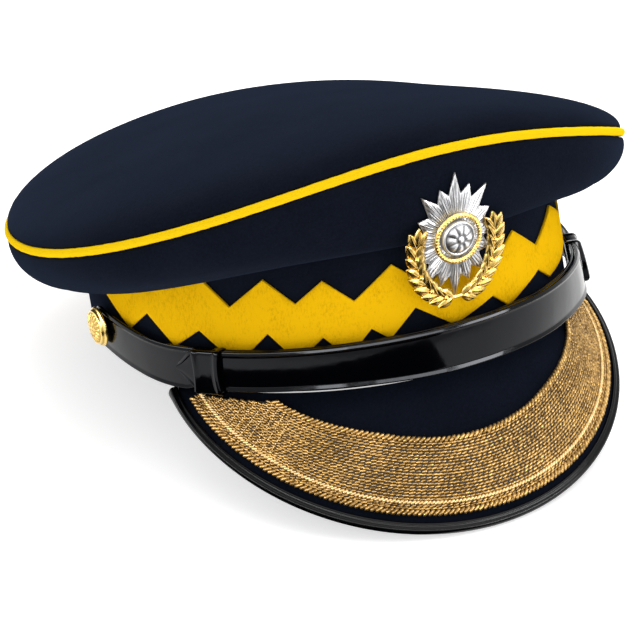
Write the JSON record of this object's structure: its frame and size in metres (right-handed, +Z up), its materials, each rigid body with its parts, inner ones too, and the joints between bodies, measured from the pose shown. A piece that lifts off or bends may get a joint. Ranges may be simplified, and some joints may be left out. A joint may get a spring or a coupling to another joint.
{
  "type": "forage cap",
  "caption": "Peaked forage cap with a wide soft crown, piped edge, zigzag head band, laced peak, patent chin strap and a two-metal badge, resting on its peak and rear edge.",
  "frame": {"origin": "on the floor, under the middle of the cap's box as it rests on its peak and the rear edge of its head band", "axes": "+Z up, the wearer's front towards -Y, the wearer's left towards +X"},
  "size_m": [0.2236, 0.2664, 0.1237],
  "materials": {
    "navy_wool": "matte milled wool",
    "yellow_felt": "matte wool felt",
    "patent_leather": "glossy patent",
    "gold_lace": "woven gold wire",
    "gilt_metal": "polished gilt",
    "silver_metal": "polished silver plate"
  },
  "bodies": {
    "root": {"crown_top": "navy_wool", "crown_side": "navy_wool", "crown_piping": "yellow_felt", "head_band": "navy_wool", "zigzag_band": "yellow_felt", "peak": "navy_wool", "peak_binding": "patent_leather", "peak_lace": "gold_lace", "lace_cord_outer": "gold_lace", "lace_cord_inner": "gold_lace", "chin_strap_outer": "patent_leather", "chin_strap_inner": "patent_leather", "button_right": "gilt_metal", "button_left": "gilt_metal", "badge_star": "silver_metal", "badge_ring": "gilt_metal", "badge_sprays": "gilt_metal", "keeper_right": "patent_leather", "keeper_left": "patent_leather"}
  },
  "joints": []
}
